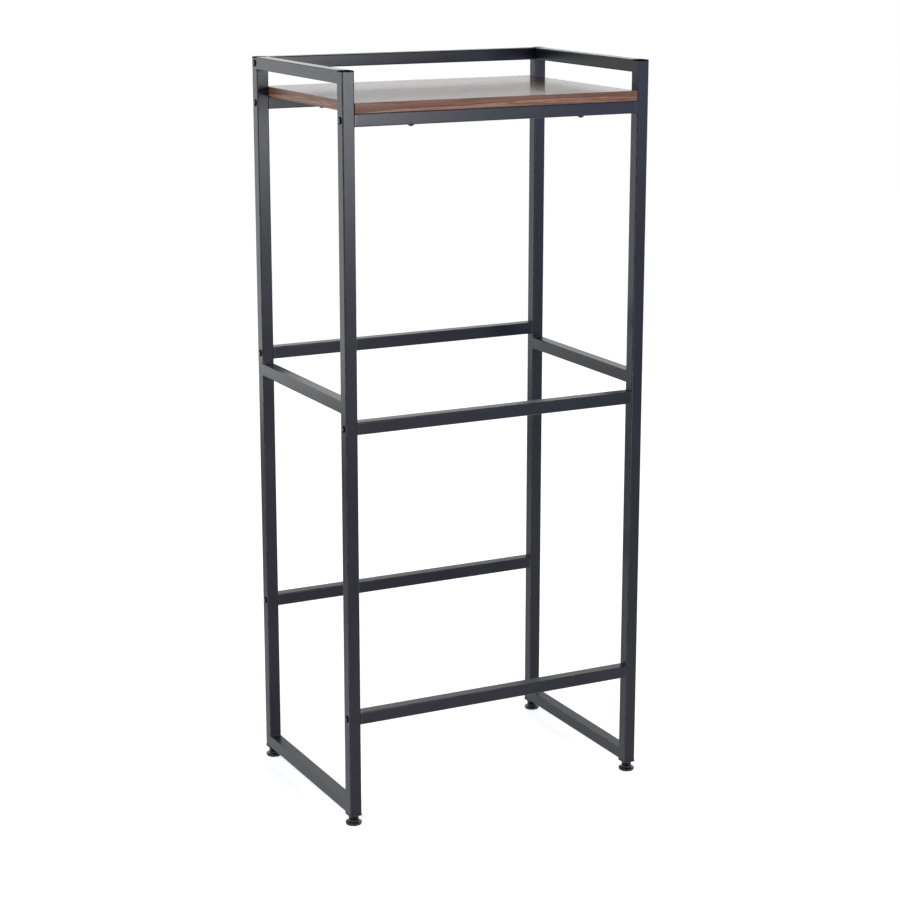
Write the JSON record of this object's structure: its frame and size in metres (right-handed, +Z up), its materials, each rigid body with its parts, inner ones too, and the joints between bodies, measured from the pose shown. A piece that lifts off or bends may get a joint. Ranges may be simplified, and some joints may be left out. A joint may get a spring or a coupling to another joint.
{
  "type": "over the toilet storage rack",
  "caption": "Tall open storage rack of black square steel tube that stands over a toilet, with one walnut laminate shelf at the top, bolted cross bars and levelling feet.",
  "frame": {"origin": "middle of the footprint at floor level, with the levelling feet screwed right in", "axes": "+X towards the right-hand side seen from the front, the front faces -Y, +Z up"},
  "size_m": [0.6174, 0.4134, 1.375],
  "materials": {
    "powder_coated_steel": "satin charcoal powder coat",
    "black_plastic": "moulded, lightly textured",
    "black_bolt_steel": "black oxide on the frame bolts, shelf screws and foot studs",
    "zinc_plated_steel": "zinc plated",
    "walnut_laminate": "satin walnut laminate on particle board",
    "walnut_edge_band": "walnut-print edge band"
  },
  "bodies": {
    "rack": {"left_front_post": "powder_coated_steel", "left_rear_post": "powder_coated_steel", "right_front_post": "powder_coated_steel", "right_rear_post": "powder_coated_steel", "left_top_rail": "powder_coated_steel", "left_middle_rail": "powder_coated_steel", "left_bottom_rail": "powder_coated_steel", "right_top_rail": "powder_coated_steel", "right_middle_rail": "powder_coated_steel", "right_bottom_rail": "powder_coated_steel", "left_frame_welds": "powder_coated_steel", "right_frame_welds": "powder_coated_steel", "top_rear_bar": "powder_coated_steel", "shelf_front_bar": "powder_coated_steel", "shelf_rear_bar": "powder_coated_steel", "middle_front_bar": "powder_coated_steel", "middle_rear_bar": "powder_coated_steel", "lower_front_bar": "powder_coated_steel", "lower_rear_bar": "powder_coated_steel", "front_bar_end_plugs": "black_plastic", "rear_bar_end_plugs": "black_plastic", "bar_threaded_inserts": "zinc_plated_steel", "left_frame_bolts": "black_bolt_steel", "right_frame_bolts": "black_bolt_steel", "shelf_board": "walnut_laminate", "shelf_front_band": "walnut_edge_band", "shelf_rear_band": "walnut_edge_band", "shelf_side_bands": "walnut_edge_band", "shelf_screws": "black_bolt_steel", "left_front_post_cap": "black_plastic", "left_rear_post_cap": "black_plastic", "right_front_post_cap": "black_plastic", "right_rear_post_cap": "black_plastic", "left_front_foot_plug": "black_plastic", "left_rear_foot_plug": "black_plastic", "right_front_foot_plug": "black_plastic", "right_rear_foot_plug": "black_plastic", "foot_threaded_inserts": "zinc_plated_steel"},
    "left_front_pad": {"left_front_foot_pad": "black_plastic"},
    "left_front_stud": {"left_front_foot_stud": "black_bolt_steel"},
    "left_rear_pad": {"left_rear_foot_pad": "black_plastic"},
    "left_rear_stud": {"left_rear_foot_stud": "black_bolt_steel"},
    "right_front_pad": {"right_front_foot_pad": "black_plastic"},
    "right_front_stud": {"right_front_foot_stud": "black_bolt_steel"},
    "right_rear_pad": {"right_rear_foot_pad": "black_plastic"},
    "right_rear_stud": {"right_rear_foot_stud": "black_bolt_steel"}
  },
  "joints": [
    {"name": "left_front_foot_height", "type": "slide", "parent": "rack", "child": "left_front_pad", "axis": [0, 0, -1], "range_m": [0, 0.012]},
    {"name": "left_front_stud_turn", "type": "hinge", "parent": "left_front_pad", "child": "left_front_stud", "pos_m": [-0.2935, -0.1915, 0.0125], "axis": [0, 0, -1], "range_deg": [0, 3460]},
    {"name": "left_rear_foot_height", "type": "slide", "parent": "rack", "child": "left_rear_pad", "axis": [0, 0, -1], "range_m": [0, 0.012]},
    {"name": "left_rear_stud_turn", "type": "hinge", "parent": "left_rear_pad", "child": "left_rear_stud", "pos_m": [-0.2935, 0.1915, 0.0125], "axis": [0, 0, -1], "range_deg": [0, 3460]},
    {"name": "right_front_foot_height", "type": "slide", "parent": "rack", "child": "right_front_pad", "axis": [0, 0, -1], "range_m": [0, 0.012]},
    {"name": "right_front_stud_turn", "type": "hinge", "parent": "right_front_pad", "child": "right_front_stud", "pos_m": [0.2935, -0.1915, 0.0125], "axis": [0, 0, -1], "range_deg": [0, 3460]},
    {"name": "right_rear_foot_height", "type": "slide", "parent": "rack", "child": "right_rear_pad", "axis": [0, 0, -1], "range_m": [0, 0.012]},
    {"name": "right_rear_stud_turn", "type": "hinge", "parent": "right_rear_pad", "child": "right_rear_stud", "pos_m": [0.2935, 0.1915, 0.0125], "axis": [0, 0, -1], "range_deg": [0, 3460]}
  ],
  "couplings": [
    {"joint": "left_front_stud_turn", "follows": "left_front_foot_height", "rad_per_m": 5026.5},
    {"joint": "left_rear_stud_turn", "follows": "left_rear_foot_height", "rad_per_m": 5026.5},
    {"joint": "right_front_stud_turn", "follows": "right_front_foot_height", "rad_per_m": 5026.5},
    {"joint": "right_rear_stud_turn", "follows": "right_rear_foot_height", "rad_per_m": 5026.5}
  ]
}
